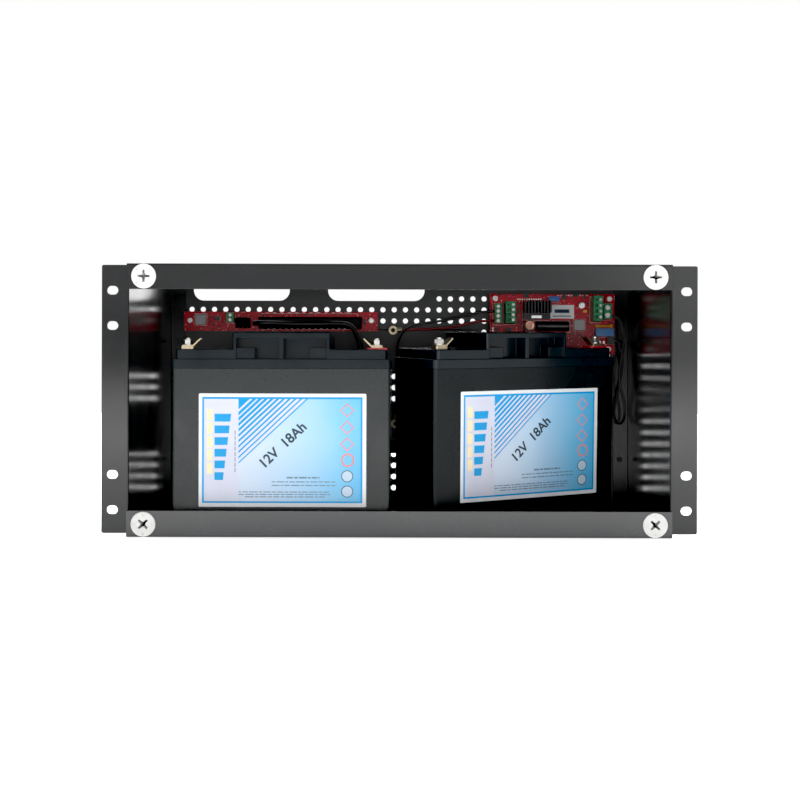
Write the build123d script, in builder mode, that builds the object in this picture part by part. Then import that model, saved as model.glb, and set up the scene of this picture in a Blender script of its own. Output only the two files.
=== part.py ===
from build123d import *
import os
from math import tan, radians, pi, sin, cos

# 19-inch rack uninterruptible power supply, 5U, front cover removed.
# Frame: X right, Y towards the back, Z up. Origin: centre of the bottom face.

os.makedirs("parts", exist_ok=True)

# ---- chassis dimensions (mm)
T = 1.5                 # sheet steel
HALF_W = 221.0          # outside of the side panels
H = 222.0               # outside height, five rack units
Y_RAIL = -90.0          # front face of the rails
Y_EAR = -88.5           # front face of the rack ears
Y_BACK = 90.0           # outside of the back panel
RAIL_LOW = 21.5         # top edge of the bottom rail
RAIL_HIGH = 201.0       # bottom edge of the top rail
EAR_X = 241.3           # half of 482.6
EAR_Z0, EAR_Z1 = 3.2, 220.5
SLOT_X = 232.55         # half of 465.1
SLOT_Z = (22.1, 50.675, 171.325, 199.9)
SLOT_W, SLOT_L = 7.0, 9.1
SOCKET_X = 207.0
SOCKET_Z = (10.75, 211.25)
RIVET_X, RIVET_Z = 211.8, (55.0, 167.0)

# ---- back panel grille
PITCH_X, PITCH_Z, HOLE_D = 10.835, 10.72, 5.0
GRID_X0, GRID_Z0, COLS, ROWS = -200.45, 198.5, 38, 17
NOTCHES = ((-198.7, -106.2), (-69.2, 23.8))
NOTCH_Z = 207.0

# ---- batteries
BAT_L, BAT_D = 181.0, 76.0
BAT_FLOOR = T
SKIRT_Z0, SKIRT_Z1 = 135.8, 143.3      # above the battery's own base
SHOULDER_Z = 151.6
BLOCK_Z = 165.5
WALL = 2.5
TILT = 26.0                            # the right battery stands turned by this much
LEAN = 3.99                            # and leans forward by this much, its rear on a pad


def save(builder, label):
    builder.part.label = label
    export_step(builder.part, "parts/" + label + ".step")


# =====================================================================
# Chassis
# =====================================================================
with BuildPart() as bottom_panel:
    with BuildSketch(Plane.YZ.offset(-HALF_W)) as bottom_profile:
        with BuildLine():
            Polyline((Y_RAIL, 0), (Y_BACK, 0), (Y_BACK, T), (Y_RAIL + T, T),
                     (Y_RAIL + T, RAIL_LOW), (Y_RAIL, RAIL_LOW), close=True)
        make_face()
        fillet(bottom_profile.vertices().sort_by_distance((Y_RAIL, 0))[0:1], 2.0)
        fillet(bottom_profile.vertices().sort_by_distance((Y_RAIL + T, T))[0:1], 0.5)
    extrude(amount=2 * HALF_W)
    with BuildSketch(Plane.XZ.offset(-Y_RAIL)):
        with Locations((-SOCKET_X, SOCKET_Z[0]), (SOCKET_X, SOCKET_Z[0])):
            Circle(6.2)
    extrude(amount=-3, mode=Mode.SUBTRACT)
save(bottom_panel, "bottom_panel")

with BuildPart() as top_panel:
    with BuildSketch(Plane.YZ.offset(-HALF_W)) as top_profile:
        with BuildLine():
            Polyline((Y_RAIL, H), (Y_BACK, H), (Y_BACK, H - T), (Y_RAIL + T, H - T),
                     (Y_RAIL + T, RAIL_HIGH), (Y_RAIL, RAIL_HIGH), close=True)
        make_face()
        fillet(top_profile.vertices().sort_by_distance((Y_RAIL, H))[0:1], 2.0)
        fillet(top_profile.vertices().sort_by_distance((Y_RAIL + T, H - T))[0:1], 0.5)
    extrude(amount=2 * HALF_W)
    with BuildSketch(Plane.XZ.offset(-Y_RAIL)):
        with Locations((-SOCKET_X, SOCKET_Z[1]), (SOCKET_X, SOCKET_Z[1])):
            Circle(6.2)
    extrude(amount=-3, mode=Mode.SUBTRACT)
save(top_panel, "top_panel")

# Side panel: web, rack ear at the front, narrow return flanges at the rear, top and bottom.
with BuildPart() as side_panel_left:
    with BuildSketch(Plane.XY.offset(EAR_Z0)) as side_profile:
        with BuildLine():
            Polyline((-EAR_X, Y_EAR), (-HALF_W + T, Y_EAR), (-HALF_W + T, Y_BACK - 2 * T),
                     (-RIVET_X + 5.8, Y_BACK - 2 * T), (-RIVET_X + 5.8, Y_BACK - T),
                     (-HALF_W, Y_BACK - T), (-HALF_W, Y_EAR + T), (-EAR_X, Y_EAR + T), close=True)
        make_face()
        fillet(side_profile.vertices().sort_by_distance((-HALF_W + T, Y_EAR))[0:1], 1.9)
        fillet(side_profile.vertices().sort_by_distance((-HALF_W, Y_EAR + T))[0:1], 0.5)
        fillet(side_profile.vertices().sort_by_distance((-HALF_W, Y_BACK - T))[0:1], 1.9)
        fillet(side_profile.vertices().sort_by_distance((-HALF_W + T, Y_BACK - 2 * T))[0:1], 0.5)
    extrude(amount=EAR_Z1 - EAR_Z0)
    # the web runs on down to the bottom panel
    with BuildSketch(Plane.XY.offset(T)):
        with BuildLine():
            Polyline((-HALF_W, Y_EAR + 4), (-HALF_W + T, Y_EAR + 4), (-HALF_W + T, Y_BACK - 6),
                     (-HALF_W, Y_BACK - 6), close=True)
        make_face()
    extrude(amount=EAR_Z0 - T + 0.5)
    # return flanges, welded to the top and bottom panels
    with BuildSketch(Plane.XY.offset(T)):
        with Locations((-HALF_W + 7.5, 0)):
            Rectangle(15.0, 160.0)
    extrude(amount=T)
    with BuildSketch(Plane.XY.offset(H - T)):
        with Locations((-HALF_W + 7.5, 0)):
            Rectangle(15.0, 160.0)
    extrude(amount=-T)
    # rack slots and softened ear corners
    with BuildSketch(Plane.XZ.offset(-Y_EAR)):
        with Locations(*[(-SLOT_X, z) for z in SLOT_Z]):
            SlotOverall(SLOT_L, SLOT_W)
    extrude(amount=-T - 0.5, mode=Mode.SUBTRACT)
    with BuildSketch(Plane.XZ.offset(-(Y_BACK - 3 * T))):
        with Locations(*[(-RIVET_X, z) for z in RIVET_Z]):
            Circle(1.65)
    extrude(amount=-3 * T, mode=Mode.SUBTRACT)
    ear_corners = side_panel_left.edges().filter_by(Axis.Y).filter_by_position(Axis.X, -EAR_X - 0.1, -EAR_X + 0.1)
    fillet(ear_corners, 1.6)
save(side_panel_left, "side_panel_left")

with BuildPart() as side_panel_right:
    add(side_panel_left.part)
    mirror(about=Plane.YZ, mode=Mode.REPLACE)
save(side_panel_right, "side_panel_right")

with BuildPart() as back_panel:
    with BuildSketch(Plane.XZ.offset(-(Y_BACK - T))):
        with BuildLine():
            Polyline((-HALF_W, T), (HALF_W, T), (HALF_W, H - T), (-HALF_W, H - T), close=True)
        make_face()
        # the regular grille
        with Locations((GRID_X0 + PITCH_X * (COLS - 1) / 2, GRID_Z0 - PITCH_Z * (ROWS - 1) / 2)):
            with GridLocations(PITCH_X, PITCH_Z, COLS, ROWS):
                Circle(HOLE_D / 2, mode=Mode.SUBTRACT)
        # one more row right of the cable notches
        with Locations(*[(GRID_X0 + PITCH_X * k, GRID_Z0 + PITCH_Z) for k in range(22, COLS)]):
            Circle(HOLE_D / 2, mode=Mode.SUBTRACT)
        with Locations(*[(s * RIVET_X, z) for s in (-1, 1) for z in RIVET_Z]):
            Circle(1.65, mode=Mode.SUBTRACT)
        # cable notches, open towards the top panel
        for x0, x1 in NOTCHES:
            with BuildSketch(mode=Mode.SUBTRACT) as notch:
                with Locations(((x0 + x1) / 2, NOTCH_Z + 15)):
                    RectangleRounded(x1 - x0, 30, 9.9)
                with Locations(((x0 + x1) / 2, NOTCH_Z + 24)):
                    Rectangle(x1 - x0, 24)
    extrude(amount=-T)
    # bottom return flange, welded to the bottom panel
    with BuildSketch(Plane.XY.offset(T)):
        with Locations((0, Y_BACK - T - 4.75)):
            Rectangle(400.0, 9.5)
    extrude(amount=T)
save(back_panel, "back_panel")

# Blind rivets through the back panel and the side panels' rear flanges.
with BuildPart() as chassis_rivets:
    for sx in (-1, 1):
        for z in RIVET_Z:
            with BuildSketch(Plane(origin=(sx * RIVET_X, Y_BACK, z), x_dir=(1, 0, 0), z_dir=(0, 1, 0)).rotated((0, 0, 0))):
                Circle(3.2)
            extrude(amount=0.9, taper=30)
            with BuildSketch(Plane(origin=(sx * RIVET_X, Y_BACK, z), x_dir=(1, 0, 0), z_dir=(0, 1, 0))):
                Circle(1.6)
            extrude(amount=-3 * T - 1.5)
            with BuildSketch(Plane(origin=(sx * RIVET_X, Y_BACK - 2 * T, z), x_dir=(1, 0, 0), z_dir=(0, -1, 0))):
                Circle(2.3)
            extrude(amount=2.4)
            with BuildSketch(Plane(origin=(sx * RIVET_X, Y_BACK - 2 * T - 2.4, z), x_dir=(1, 0, 0), z_dir=(0, 1, 0))):
                Circle(0.9)
            extrude(amount=3.0, mode=Mode.SUBTRACT)
save(chassis_rivets, "chassis_rivets")

# Snap sockets in the corners of the rails: flange, barrel, funnel and a four-armed slit.
with BuildPart() as cover_snap_sockets:
    for z, turn in ((SOCKET_Z[0], 45), (SOCKET_Z[1], 0)):
        for sx in (-1, 1):
            face = Plane(origin=(sx * SOCKET_X, Y_RAIL, z), x_dir=(1, 0, 0), z_dir=(0, -1, 0))
            with BuildSketch(face):
                Circle(10.0)
            extrude(amount=1.6)
            with BuildSketch(face):
                Circle(6.0)
            extrude(amount=-9.0)
            # barb behind the rail
            with BuildSketch(face.offset(-T - 0.1)):
                Circle(6.7)
            extrude(amount=-3.0, taper=12)
            # four-armed opening, widest at the middle
            with BuildSketch(face.offset(1.6)):
                Circle(2.0)
                for a in range(4):
                    with Locations(Rotation(0, 0, turn + 90 * a)):
                        with Locations((2.6, 0)):
                            Trapezoid(2.3, 4.6, 86, rotation=-90)
            extrude(amount=-12.0, mode=Mode.SUBTRACT)
            # four shallow marks near the rim
            with BuildSketch(face.offset(1.6)):
                for a in range(4):
                    with Locations(Rotation(0, 0, turn + 45 + 90 * a)):
                        with Locations((7.6, 0)):
                            Rectangle(1.7, 0.9)
            extrude(amount=-0.8, mode=Mode.SUBTRACT)
    fillet(cover_snap_sockets.edges().filter_by(GeomType.CIRCLE).filter_by(
        lambda e: abs(e.radius - 10.0) < 0.01 and e.center().Y < Y_RAIL - 1.5), 0.6)
save(cover_snap_sockets, "cover_snap_sockets")

# Cross rail: rectangular tube screwed to the inside of the back panel.
RAIL_X0, RAIL_X1, RAIL_Z0, RAIL_Z1, RAIL_D = -205.0, 72.0, 137.0, 179.6, 9.5
BY = Y_BACK - T                       # inside face of the back panel
RAIL_SCREWS = [(GRID_X0 + PITCH_X * k, GRID_Z0 - PITCH_Z * 4) for k in (1, 13, 24)]
with BuildPart() as rear_cross_rail:
    with BuildSketch(Plane.YZ.offset(RAIL_X0)):
        with Locations((BY - RAIL_D / 2, (RAIL_Z0 + RAIL_Z1) / 2)):
            RectangleRounded(RAIL_D, RAIL_Z1 - RAIL_Z0, 1.6)
            RectangleRounded(RAIL_D - 3.0, RAIL_Z1 - RAIL_Z0 - 3.0, 0.4, mode=Mode.SUBTRACT)
    extrude(amount=RAIL_X1 - RAIL_X0)
    with BuildSketch(Plane.XZ.offset(-BY)):
        with Locations(*RAIL_SCREWS):
            Circle(2.1)
    extrude(amount=3, mode=Mode.SUBTRACT)
save(rear_cross_rail, "rear_cross_rail")


def back_screws(places, length):
    """Pan-head M4 screws driven from behind through grille holes."""
    with BuildPart() as screws:
        for x, z in places:
            out = Plane(origin=(x, Y_BACK, z), x_dir=(1, 0, 0), z_dir=(0, 1, 0))
            with BuildSketch(out):
                Circle(4.0)
            extrude(amount=2.2, taper=12)
            with BuildSketch(out):
                Circle(2.0)
            extrude(amount=-length)
            with BuildSketch(out.offset(2.2)):
                with Locations(Rotation(0, 0, 20)):
                    Rectangle(4.2, 0.8)
                    Rectangle(0.8, 4.2)
            extrude(amount=-1.2, mode=Mode.SUBTRACT)
    return screws


cross_rail_screws = back_screws(RAIL_SCREWS, 5.5)
save(cross_rail_screws, "cross_rail_screws")

# =====================================================================
# Enclosed mains power supply, low on the back panel
# =====================================================================
PSU_X0, PSU_X1, PSU_Z0, PSU_Z1, PSU_D = -203.0, 5.0, 62.0, 109.0, 40.0
PSU_XC, PSU_ZC = (PSU_X0 + PSU_X1) / 2, (PSU_Z0 + PSU_Z1) / 2
PSU_Y0 = BY - PSU_D
PSU_SCREWS = [(GRID_X0 + PITCH_X * k, GRID_Z0 - PITCH_Z * j) for k in (1, 17) for j in (9, 12)]
with BuildPart() as psu_base:
    # back plate with folded ends
    with BuildSketch(Plane.XY.offset(PSU_Z0 + 1.2)):
        with BuildLine():
            Polyline((PSU_X0, PSU_Y0 + 1.2), (PSU_X0 + 1.2, PSU_Y0 + 1.2), (PSU_X0 + 1.2, BY - 1.2),
                     (PSU_X1 - 1.2, BY - 1.2), (PSU_X1 - 1.2, PSU_Y0 + 1.2), (PSU_X1, PSU_Y0 + 1.2),
                     (PSU_X1, BY), (PSU_X0, BY), close=True)
        make_face()
    extrude(amount=PSU_Z1 - PSU_Z0 - 2.4)
    with BuildSketch(Plane.XZ.offset(-BY)):
        with Locations(*PSU_SCREWS):
            Circle(2.1)
    extrude(amount=3, mode=Mode.SUBTRACT)
save(psu_base, "psu_base")

with BuildPart() as psu_cover:
    # channel over the front, top and bottom, slotted for air
    with BuildSketch(Plane.YZ.offset(PSU_X0)):
        with BuildLine():
            Polyline((BY, PSU_Z0), (PSU_Y0, PSU_Z0), (PSU_Y0, PSU_Z1), (BY, PSU_Z1), (BY, PSU_Z1 - 1.2),
                     (PSU_Y0 + 1.2, PSU_Z1 - 1.2), (PSU_Y0 + 1.2, PSU_Z0 + 1.2), (BY, PSU_Z0 + 1.2), close=True)
        make_face()
    extrude(amount=PSU_X1 - PSU_X0)
    with BuildSketch(Plane.XZ.offset(-PSU_Y0 + 1)):
        with Locations((PSU_XC - 20, PSU_ZC)):
            with GridLocations(7.0, 18.0, 18, 2):
                SlotOverall(12.0, 2.6, rotation=90)
    extrude(amount=-4, mode=Mode.SUBTRACT)
    with BuildSketch(Plane.XY.offset(PSU_Z1 + 1)):
        with Locations((PSU_XC - 20, BY - 20)):
            with GridLocations(7.0, 18.0, 18, 1):
                SlotOverall(14.0, 2.6, rotation=90)
    extrude(amount=-4, mode=Mode.SUBTRACT)
    # mouth of the terminal block, at the right end
    with BuildSketch(Plane.XZ.offset(-PSU_Y0 + 1)):
        with Locations((PSU_X1 - 27, PSU_ZC)):
            Rectangle(34.4, 22.4)
    extrude(amount=-4, mode=Mode.SUBTRACT)
save(psu_cover, "psu_cover")

with BuildPart() as psu_circuit_board:
    with BuildSketch(Plane.XZ.offset(-(BY - 8.0))):
        with Locations((PSU_XC, PSU_ZC)):
            Rectangle(198, 42)
            with GridLocations(186, 34, 2, 2):
                Circle(1.6, mode=Mode.SUBTRACT)
    extrude(amount=1.6)
    # edge pillars the board stands on
    with BuildSketch(Plane.XZ.offset(-(BY - 8.0))):
        with Locations((PSU_XC, PSU_ZC)):
            with GridLocations(150, 34, 2, 2):
                Circle(2.5)
    extrude(amount=-(8.0 - 1.2))
save(psu_circuit_board, "psu_circuit_board")

with BuildPart() as psu_components:
    # transformer, ferrite core round a bobbin
    with BuildSketch(Plane.XZ.offset(-(BY - 9.6))):
        with Locations((PSU_XC + 12, PSU_ZC)):
            Rectangle(34, 32)
    extrude(amount=7)
    with BuildSketch(Plane.XZ.offset(-(BY - 16.6))):
        with Locations((PSU_XC + 12, PSU_ZC)):
            RectangleRounded(24, 38, 3)
    extrude(amount=12)
    with BuildSketch(Plane.XZ.offset(-(BY - 19.6))):
        with Locations((PSU_XC + 12, PSU_ZC)):
            Rectangle(34, 14)
    extrude(amount=6)
    # reservoir capacitors
    for dx, r, h in ((-68, 9.0, 25.0), (-44, 9.0, 25.0), (52, 5.0, 20.0)):
        with BuildSketch(Plane.XZ.offset(-(BY - 9.6))):
            with Locations((PSU_XC + dx, PSU_ZC)):
                Circle(r)
        extrude(amount=h)
save(psu_components, "psu_components")

with BuildPart() as psu_terminal_block:
    with BuildSketch(Plane.XZ.offset(-(BY - 9.6))):
        with Locations((PSU_X1 - 27, PSU_ZC)):
            Rectangle(34.0, 22.0)
    extrude(amount=PSU_D - 9.6 - 3.0)
    with BuildSketch(Plane.XZ.offset(-(PSU_Y0 + 3.0))):
        with Locations((PSU_X1 - 27, PSU_ZC)):
            with GridLocations(8.0, 1, 4, 1):
                Rectangle(6.6, 17.0)
    extrude(amount=-9.0, mode=Mode.SUBTRACT)
    with BuildSketch(Plane.XZ.offset(-(PSU_Y0 + 12.0))):
        with Locations((PSU_X1 - 27, PSU_ZC)):
            with GridLocations(8.0, 1, 4, 1):
                Circle(2.9)
    extrude(amount=4.0)
save(psu_terminal_block, "psu_terminal_block")

psu_mount_screws = back_screws(PSU_SCREWS, 5.0)
save(psu_mount_screws, "psu_mount_screws")

# =====================================================================
# Circuit boards
# =====================================================================
PCB_T = 1.6
PCB_Y = 76.9                          # front face of both boards
CB_X0, CB_X1, CB_Z0, CB_Z1 = -205.8, -21.0, 177.0, 195.5
UB_X0, UB_X1, UB_Z0, UB_Z1 = 86.0, 204.9, 155.5, 213.0
CB_FIX = [(-199.8, 187.0), (-27.1, 187.0)]
UB_FIX = [(91.0, 208.6), (200.0, 208.4), (91.0, 160.5), (199.0, 160.5)]

with BuildPart() as control_board:
    with BuildSketch(Plane.XZ.offset(-(PCB_Y + PCB_T))):
        with Locations(((CB_X0 + CB_X1) / 2, (CB_Z0 + CB_Z1) / 2)):
            Rectangle(CB_X1 - CB_X0, CB_Z1 - CB_Z0)
        with Locations(*CB_FIX):
            Circle(1.7, mode=Mode.SUBTRACT)
    extrude(amount=PCB_T)
save(control_board, "control_board")

with BuildPart() as ups_board:
    with BuildSketch(Plane.XZ.offset(-(PCB_Y + PCB_T))):
        with Locations(((UB_X0 + UB_X1) / 2, (UB_Z0 + UB_Z1) / 2)):
            Rectangle(UB_X1 - UB_X0, UB_Z1 - UB_Z0)
        with Locations(*UB_FIX):
            Circle(1.7, mode=Mode.SUBTRACT)
    extrude(amount=PCB_T)
save(ups_board, "ups_board")

with BuildPart() as board_standoffs:
    with BuildSketch(Plane.XZ.offset(-BY)):
        with Locations(*(CB_FIX + UB_FIX)):
            RegularPolygon(3.2, 6)
            Circle(1.55, mode=Mode.SUBTRACT)
    extrude(amount=BY - PCB_Y - PCB_T)
save(board_standoffs, "board_standoffs")

with BuildPart() as board_screws:
    with BuildSketch(Plane.XZ.offset(-PCB_Y)):
        with Locations(*(CB_FIX + UB_FIX)):
            Circle(2.8)
    extrude(amount=1.9, taper=14)
    with BuildSketch(Plane.XZ.offset(-PCB_Y)):
        with Locations(*(CB_FIX + UB_FIX)):
            Circle(1.5)
    extrude(amount=-8.0)
    with BuildSketch(Plane.XZ.offset(-PCB_Y + 1.9)):
        with Locations(*(CB_FIX + UB_FIX)):
            Rectangle(3.0, 0.6)
            Rectangle(0.6, 3.0)
    extrude(amount=-1.1, mode=Mode.SUBTRACT)
save(board_screws, "board_screws")

FRONT = Plane.XZ.offset(-PCB_Y)       # outward towards the viewer of the board


def blocks(items, corner=0.0):
    """Small rectangular parts on a board: (x, z, width, height, depth)."""
    with BuildPart() as group:
        for x, z, w, h, d in items:
            with BuildSketch(FRONT):
                with Locations((x, z)):
                    if corner:
                        RectangleRounded(w, h, corner)
                    else:
                        Rectangle(w, h)
            extrude(amount=d)
    return group


# surface parts of the control board
control_board_parts = blocks(
    [(-200.6, 181.2, 2.0, 1.2, 0.7), (-197.2, 191.8, 2.0, 1.2, 0.7), (-181.5, 190.6, 3.0, 1.6, 1.0),
     (-181.3, 186.2, 1.2, 2.0, 0.7), (-178.4, 183.6, 2.0, 1.2, 0.7), (-174.2, 188.9, 5.0, 4.0, 1.5),
     (-172.6, 181.6, 2.0, 1.2, 0.7), (-169.0, 184.8, 1.2, 2.0, 0.7), (-151.8, 188.3, 2.0, 4.6, 1.2),
     (-148.0, 188.3, 2.0, 4.6, 1.2), (-144.2, 186.7, 3.4, 6.0, 1.6), (-151.5, 181.4, 3.0, 1.6, 1.0),
     (-143.9, 180.4, 2.0, 1.2, 0.7), (-131.0, 192.2, 3.0, 1.6, 1.0), (-120.0, 192.5, 2.0, 1.2, 0.7),
     (-96.0, 192.2, 2.0, 1.2, 0.7), (-88.0, 192.4, 3.0, 1.6, 1.0), (-60.0, 192.3, 2.0, 1.2, 0.7),
     (-33.5, 186.0, 2.4, 5.0, 1.2), (-34.0, 191.4, 2.0, 1.2, 0.7)])
save(control_board_parts, "control_board_parts")

control_board_chip = blocks([(-189.8, 187.9, 9.8, 9.8, 1.4)], 0.6)
save(control_board_chip, "control_board_chip")


def screw_terminal(x, z, poles, pitch, width, depth):
    """Wire-clamp block with round screw wells in front and wire mouths on the +X or -X side."""
    with BuildPart() as block:
        with BuildSketch(FRONT):
            with Locations((x, z)):
                Rectangle(width, pitch * poles)
        extrude(amount=depth)
        with BuildSketch(FRONT.offset(depth)):
            with Locations((x, z)):
                with GridLocations(1, pitch, 1, poles):
                    Circle(min(pitch, width) * 0.36)
        extrude(amount=-depth * 0.35, mode=Mode.SUBTRACT)
        with BuildSketch(Plane.YZ.offset(x)):
            with Locations((PCB_Y - depth * 0.35, z)):
                with GridLocations(1, pitch, 1, poles):
                    Rectangle(depth * 0.38, pitch * 0.62)
        extrude(amount=width, both=True, mode=Mode.SUBTRACT)
    return block


control_board_terminal = screw_terminal(-161.1, 189.5, 2, 4.6, 7.0, 7.5)
save(control_board_terminal, "control_board_terminal")
battery_terminal_block = screw_terminal(93.4, 193.8, 4, 4.6, 6.6, 8.5)
save(battery_terminal_block, "battery_terminal_block")
signal_terminal_block = screw_terminal(197.2, 196.1, 2, 7.2, 7.6, 8.5)
save(signal_terminal_block, "signal_terminal_block")

with BuildPart() as terminal_screws:
    for x, z, n, pitch, depth, r in ((-161.1, 189.5, 2, 4.6, 7.5, 1.5), (93.4, 193.8, 4, 4.6, 8.5, 1.5),
                                     (197.2, 196.1, 2, 7.2, 8.5, 2.3)):
        with BuildSketch(FRONT.offset(depth * 0.65)):
            with Locations((x, z)):
                with GridLocations(1, pitch, 1, n):
                    Circle(r)
        extrude(amount=1.6)
        with BuildSketch(FRONT.offset(depth * 0.65 + 1.6)):
            with Locations((x, z)):
                with GridLocations(1, pitch, 1, n):
                    Rectangle(r * 1.7, 0.5, rotation=30)
        extrude(amount=-0.8, mode=Mode.SUBTRACT)
save(terminal_screws, "terminal_screws")

# surface parts of the UPS board
ups_board_parts = blocks(
    [(146.8, 208.0, 9.7, 4.4, 6.0), (95.5, 212.2, 3.0, 1.6, 1.0), (103.0, 211.0, 2.0, 1.2, 0.7),
     (108.0, 211.6, 3.0, 1.6, 1.0), (114.0, 210.4, 1.2, 2.0, 0.7), (120.5, 211.4, 5.0, 4.0, 1.5),
     (128.5, 210.8, 2.0, 1.2, 0.7), (134.0, 211.5, 3.0, 1.6, 1.0), (156.4, 210.2, 3.4, 4.6, 2.4),
     (161.8, 210.2, 2.0, 1.2, 0.7), (165.2, 207.4, 1.2, 2.0, 0.7), (168.0, 211.6, 6.0, 2.6, 1.6),
     (176.0, 210.4, 2.0, 4.8, 2.4), (179.0, 204.4, 1.2, 2.0, 0.7), (170.4, 194.2, 2.4, 1.4, 1.0),
     (178.8, 190.2, 1.2, 2.0, 0.7), (179.6, 184.6, 3.0, 1.6, 1.0), (180.4, 179.2, 2.0, 1.2, 0.7),
     (113.0, 196.0, 2.0, 4.0, 1.4), (113.4, 203.0, 2.0, 1.2, 0.7), (112.8, 190.8, 3.0, 1.6, 1.0),
     (112.5, 186.0, 3.0, 1.6, 1.0), (108.6, 182.2, 2.0, 1.2, 0.7), (104.0, 179.0, 5.0, 4.0, 1.5),
     (97.0, 181.2, 2.0, 1.2, 0.7), (91.5, 180.0, 3.0, 1.6, 1.0), (163.6, 186.0, 1.2, 2.0, 0.7),
     (165.0, 175.2, 2.0, 1.2, 0.7), (172.0, 173.4, 3.0, 1.6, 1.0), (201.8, 185.8, 3.0, 1.6, 1.0)])
save(ups_board_parts, "ups_board_parts")

ups_square_chip = blocks([(171.4, 183.4, 9.8, 9.8, 1.4)], 0.6)
save(ups_square_chip, "ups_square_chip")

with BuildPart() as ups_heatsink:
    with BuildSketch(FRONT):
        with Locations((130.4, 197.2)):
            Rectangle(25.6, 17.0)
    extrude(amount=4.0)
    with BuildSketch(FRONT.offset(4.0)):
        with Locations((130.4, 200.1)):
            with GridLocations(3.0, 1, 9, 1):
                Rectangle(1.3, 11.2)
    extrude(amount=11.0)
save(ups_heatsink, "ups_heatsink")

with BuildPart() as ups_capacitor:
    with BuildSketch(FRONT):
        with Locations((172.5, 201.6)):
            Circle(3.1)
    extrude(amount=9.0)
    fillet(ups_capacitor.edges().filter_by(GeomType.CIRCLE).sort_by(Axis.Y)[0:1], 0.5)
save(ups_capacitor, "ups_capacitor")

with BuildPart() as ups_inductor:
    with BuildSketch(FRONT):
        with Locations((122.9, 182.4)):
            Circle(5.4)
    extrude(amount=10.0)
    with BuildSketch(FRONT.offset(10.0)):
        with Locations((122.9, 182.4)):
            Circle(4.2)
            Circle(2.0, mode=Mode.SUBTRACT)
    extrude(amount=2.0)
    fillet(ups_inductor.edges().filter_by(GeomType.CIRCLE).sort_by(Axis.Y)[0:2], 0.5)
save(ups_inductor, "ups_inductor")

with BuildPart() as ups_power_module:
    # horizontal barrel-shaped reservoir part held by its leads
    with BuildSketch(Plane.YZ.offset(129.5)):
        with Locations((PCB_Y - 5.2, 182.0)):
            Circle(4.8)
    extrude(amount=31.0)
    fillet(ups_power_module.edges().filter_by(GeomType.CIRCLE), 0.9)
    with BuildSketch(FRONT):
        with Locations((145.0, 182.0)):
            Rectangle(24.0, 5.0)
    extrude(amount=2.0)
save(ups_power_module, "ups_power_module")

ups_blue_relay = blocks([(194.2, 176.0, 17.0, 7.2, 10.0)], 0.5)
save(ups_blue_relay, "ups_blue_relay")

with BuildPart() as ups_fuse:
    with BuildSketch(Plane.YZ.offset(185.9)):
        with Locations((PCB_Y - 3.0, 182.4)):
            Circle(1.25)
    extrude(amount=16.6)
    with BuildSketch(FRONT):
        with Locations((187.2, 182.4), (201.2, 182.4)):
            Rectangle(1.6, 3.0)
    extrude(amount=5.0)
save(ups_fuse, "ups_fuse")

with BuildPart() as side_connector:
    with BuildSketch(FRONT):
        with Locations((200.6, 168.6)):
            Rectangle(6.4, 7.6)
    extrude(amount=6.0)
save(side_connector, "side_connector")

# Pluggable terminals: shrouded header on the board, screw plug pushed into it.
HD, PLUG_IN, GAP = 9.0, 6.5, 0.12     # header depth, plug engagement, clearance


def header(x, z, w, h, poles, pitch):
    with BuildPart() as shroud:
        with BuildSketch(FRONT):
            with Locations((x, z)):
                Rectangle(w, h)
        extrude(amount=HD)
        with BuildSketch(FRONT.offset(HD)):
            with Locations((x, z)):
                Rectangle(w - 1.8, h - 1.8)
        extrude(amount=-PLUG_IN - 0.3, mode=Mode.SUBTRACT)
        with BuildSketch(FRONT.offset(HD - PLUG_IN - 0.3)):
            with Locations((x, z)):
                with GridLocations(1, pitch, 1, poles):
                    Rectangle(1.0, 1.0)
        extrude(amount=5.0)
    return shroud


def plug(x, z, w, h, poles, pitch):
    with BuildPart() as body:
        with BuildSketch(FRONT.offset(HD - PLUG_IN)):
            with Locations((x, z)):
                Rectangle(w - 1.8 - 2 * GAP, h - 1.8 - 2 * GAP)
        extrude(amount=PLUG_IN)
        with BuildSketch(FRONT.offset(HD + 0.05)):
            with Locations((x, z)):
                Rectangle(w, h)
        extrude(amount=8.5)
        with BuildSketch(FRONT.offset(HD)):
            with Locations((x, z)):
                Rectangle(w - 2.4, h - 2.4)
        extrude(amount=0.2)
        fillet(body.faces().sort_by(Axis.Y)[0:1].edges(), 0.6)
        # contact channels, wire mouths and screw wells
        with BuildSketch(FRONT.offset(HD - PLUG_IN)):
            with Locations((x, z)):
                with GridLocations(1, pitch, 1, poles):
                    Rectangle(1.5, 1.5)
        extrude(amount=6.0, mode=Mode.SUBTRACT)
        with BuildSketch(FRONT.offset(HD + 8.55)):
            with Locations((x - w * 0.2, z)):
                with GridLocations(1, pitch, 1, poles):
                    Rectangle(w * 0.34, pitch * 0.6)
        extrude(amount=-6.0, mode=Mode.SUBTRACT)
        with BuildSketch(FRONT.offset(HD + 8.55)):
            with Locations((x + w * 0.25, z)):
                with GridLocations(1, pitch, 1, poles):
                    Circle(1.5)
        extrude(amount=-3.0, mode=Mode.SUBTRACT)
    return body


def plug_screws(x, z, w, poles, pitch):
    with BuildPart() as group:
        with BuildSketch(FRONT.offset(HD + 5.55)):
            with Locations((x + w * 0.25, z)):
                with GridLocations(1, pitch, 1, poles):
                    Circle(1.35)
        extrude(amount=1.6)
        with BuildSketch(FRONT.offset(HD + 7.15)):
            with Locations((x + w * 0.25, z)):
                with GridLocations(1, pitch, 1, poles):
                    Rectangle(2.2, 0.5, rotation=45)
        extrude(amount=-0.7, mode=Mode.SUBTRACT)
    return group


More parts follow.
